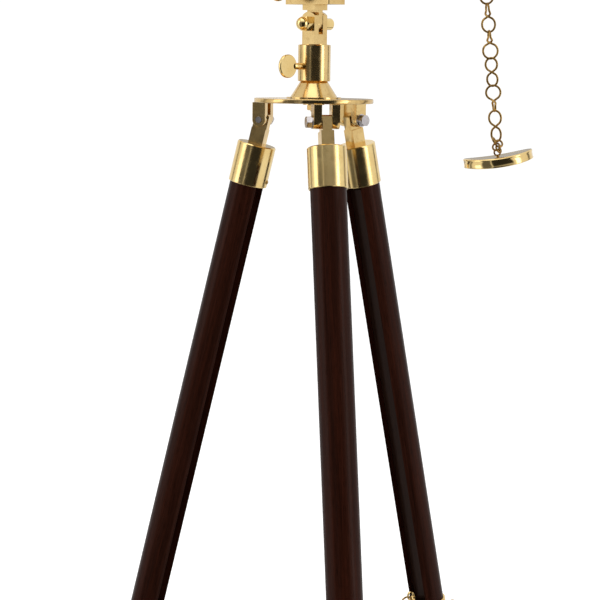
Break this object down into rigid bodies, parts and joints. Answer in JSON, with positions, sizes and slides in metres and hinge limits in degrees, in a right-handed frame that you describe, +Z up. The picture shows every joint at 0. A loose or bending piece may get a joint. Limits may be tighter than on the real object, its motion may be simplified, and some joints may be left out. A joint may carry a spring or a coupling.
{
  "type": "telescope on tripod",
  "caption": "Brass refracting telescope on a folding tripod of channelled dark wood legs, with fork head, rack focusing and a lens cap hanging on a chain.",
  "frame": {"origin": "middle of the whole object's box, on the floor", "axes": "+X where the telescope looks, +Z up, +Y to its left"},
  "size_m": [0.692, 0.321, 0.7693],
  "materials": {
    "polished_brass": "polished",
    "cast_brass": "polished casting",
    "brushed_brass": "satin brushed",
    "chain_brass": "drawn wire, slightly tarnished",
    "steel": "bright zinc",
    "mahogany": "dark gloss lacquer",
    "glass": "coated optical glass"
  },
  "bodies": {
    "hub": {"hub_plate": "cast_brass", "pan_socket": "cast_brass", "leg_brackets": "cast_brass", "hinge_bolts": "steel"},
    "pan_head": {"fork_spindle": "cast_brass", "spindle_retainer": "cast_brass", "tilt_bolt": "polished_brass", "acorn_nut": "polished_brass"},
    "tilt_head": {"saddle": "cast_brass"},
    "telescope": {"mount_rail": "cast_brass", "barrel": "polished_brass", "barrel_bands": "polished_brass", "lens_cell": "polished_brass", "objective_lens": "glass", "lens_ring": "polished_brass", "dew_hood": "polished_brass", "tail_cone": "polished_brass", "focuser_body": "polished_brass", "chain_eye": "chain_brass"},
    "pan_screw": {"pan_thumbscrew": "polished_brass"},
    "saddle_screw": {"saddle_thumbscrew": "polished_brass"},
    "draw": {"draw_tube": "polished_brass", "draw_rack": "polished_brass", "draw_collar": "polished_brass"},
    "focus": {"pinion_shaft": "polished_brass", "focus_knobs": "polished_brass"},
    "eyepiece": {"eyepiece_tube": "polished_brass", "eye_cup": "polished_brass", "eye_lens": "glass", "field_lens": "glass"},
    "cap_hanger": {"cap_chain": "chain_brass"},
    "cap": {"lens_cap": "polished_brass", "cap_eye": "chain_brass"},
    "leg_1": {"leg_block_1": "cast_brass", "leg_ferrule_1": "brushed_brass", "leg_wood_1": "mahogany", "leg_collar_1": "brushed_brass"},
    "lower_leg_1": {"batten_1": "mahogany", "foot_shoe_1": "brushed_brass"},
    "clamp_1": {"clamp_screw_1": "polished_brass"},
    "spreader_1": {"spreader_chain_1": "chain_brass", "spreader_ring": "chain_brass"},
    "leg_2": {"leg_block_2": "cast_brass", "leg_ferrule_2": "brushed_brass", "leg_wood_2": "mahogany", "leg_collar_2": "brushed_brass"},
    "lower_leg_2": {"batten_2": "mahogany", "foot_shoe_2": "brushed_brass"},
    "clamp_2": {"clamp_screw_2": "polished_brass"},
    "spreader_2": {"spreader_chain_2": "chain_brass"},
    "leg_3": {"leg_block_3": "cast_brass", "leg_ferrule_3": "brushed_brass", "leg_wood_3": "mahogany", "leg_collar_3": "brushed_brass"},
    "lower_leg_3": {"batten_3": "mahogany", "foot_shoe_3": "brushed_brass"},
    "clamp_3": {"clamp_screw_3": "polished_brass"},
    "spreader_3": {"spreader_chain_3": "chain_brass"}
  },
  "joints": [
    {"name": "pan", "type": "hinge", "parent": "hub", "child": "pan_head", "pos_m": [0.015, -0.0478, 0.628], "axis": [0, 0, 1], "continuous": true},
    {"name": "tilt", "type": "hinge", "parent": "pan_head", "child": "tilt_head", "pos_m": [0.015, -0.0478, 0.6687], "axis": [0, -1, 0], "range_deg": [-20, 60]},
    {"name": "rail_slide", "type": "slide", "parent": "tilt_head", "child": "telescope", "axis": [1, 0, 0], "range_m": [-0.012, 0.012]},
    {"name": "pan_screw_turn", "type": "hinge", "parent": "hub", "child": "pan_screw", "pos_m": [0.015, -0.0778, 0.6296], "axis": [0, -1, 0], "range_deg": [-180, 180]},
    {"name": "saddle_screw_turn", "type": "hinge", "parent": "tilt_head", "child": "saddle_screw", "pos_m": [-0.0025, -0.0728, 0.6994], "axis": [0, -1, 0], "range_deg": [-180, 180]},
    {"name": "draw_slide", "type": "slide", "parent": "telescope", "child": "draw", "axis": [-1, 0, 0], "range_m": [-0.03, 0.04]},
    {"name": "focus_turn", "type": "hinge", "parent": "telescope", "child": "focus", "pos_m": [-0.197, -0.0478, 0.718], "axis": [0, -1, 0], "range_deg": [-435, 578]},
    {"name": "eyepiece_slide", "type": "slide", "parent": "draw", "child": "eyepiece", "axis": [-1, 0, 0], "range_m": [0, 0.02]},
    {"name": "cap_swing", "type": "hinge", "parent": "telescope", "child": "cap_hanger", "pos_m": [0.22, -0.0478, 0.708], "axis": [0, 1, 0], "range_deg": [-20, 20]},
    {"name": "cap_tip", "type": "hinge", "parent": "cap_hanger", "child": "cap", "pos_m": [0.2295, -0.0383, 0.56014], "axis": [0.7071, -0.7071, 0], "range_deg": [-20, 20]},
    {"name": "fold_1", "type": "hinge", "parent": "hub", "child": "leg_1", "pos_m": [0.05688, -0.07438, 0.5796], "axis": [0.5358, 0.8443, 0], "range_deg": [0, 10.5]},
    {"name": "extend_1", "type": "slide", "parent": "leg_1", "child": "lower_leg_1", "axis": [0.1957, -0.1242, -0.9728], "range_m": [0, 0.3]},
    {"name": "clamp_1_turn", "type": "hinge", "parent": "leg_1", "child": "clamp_1", "pos_m": [0.17799, -0.15124, 0.08539], "axis": [0.8213, -0.5212, 0.2317], "range_deg": [-180, 180]},
    {"name": "spreader_1_swing", "type": "hinge", "parent": "leg_1", "child": "spreader_1", "pos_m": [0.13336, -0.12291, 0.10877], "axis": [-0.5358, -0.8443, 0], "range_deg": [0, 56]},
    {"name": "fold_2", "type": "hinge", "parent": "hub", "child": "leg_2", "pos_m": [0.01708, 0.00176, 0.5796], "axis": [-0.9991, 0.0419, 0], "range_deg": [0, 10.5]},
    {"name": "extend_2", "type": "slide", "parent": "leg_2", "child": "lower_leg_2", "axis": [0.0097, 0.2315, -0.9728], "range_m": [0, 0.3]},
    {"name": "clamp_2_turn", "type": "hinge", "parent": "leg_2", "child": "clamp_2", "pos_m": [0.02308, 0.14507, 0.08539], "axis": [0.0407, 0.9719, 0.2317], "range_deg": [-180, 180]},
    {"name": "spreader_2_swing", "type": "hinge", "parent": "leg_2", "child": "spreader_2", "pos_m": [0.02087, 0.09226, 0.10877], "axis": [0.9991, -0.0419, 0], "range_deg": [0, 56]},
    {"name": "fold_3", "type": "hinge", "parent": "hub", "child": "leg_3", "pos_m": [-0.02896, -0.07078, 0.5796], "axis": [0.4633, -0.8862, 0], "range_deg": [0, 10.5]},
    {"name": "extend_3", "type": "slide", "parent": "leg_3", "child": "lower_leg_3", "axis": [-0.2054, -0.1074, -0.9728], "range_m": [0, 0.3]},
    {"name": "clamp_3_turn", "type": "hinge", "parent": "leg_3", "child": "clamp_3", "pos_m": [-0.15607, -0.13723, 0.08539], "axis": [-0.8621, -0.4507, 0.2317], "range_deg": [-180, 180]},
    {"name": "spreader_3_swing", "type": "hinge", "parent": "leg_3", "child": "spreader_3", "pos_m": [-0.10923, -0.11274, 0.10877], "axis": [-0.4633, 0.8862, 0], "range_deg": [0, 56]}
  ],
  "couplings": [
    {"joint": "focus_turn", "follows": "draw_slide", "rad_per_m": 250},
    {"joint": "spreader_1_swing", "follows": "fold_1", "ratio": 5.2},
    {"joint": "spreader_2_swing", "follows": "fold_2", "ratio": 5.2},
    {"joint": "spreader_3_swing", "follows": "fold_3", "ratio": 5.2}
  ]
}
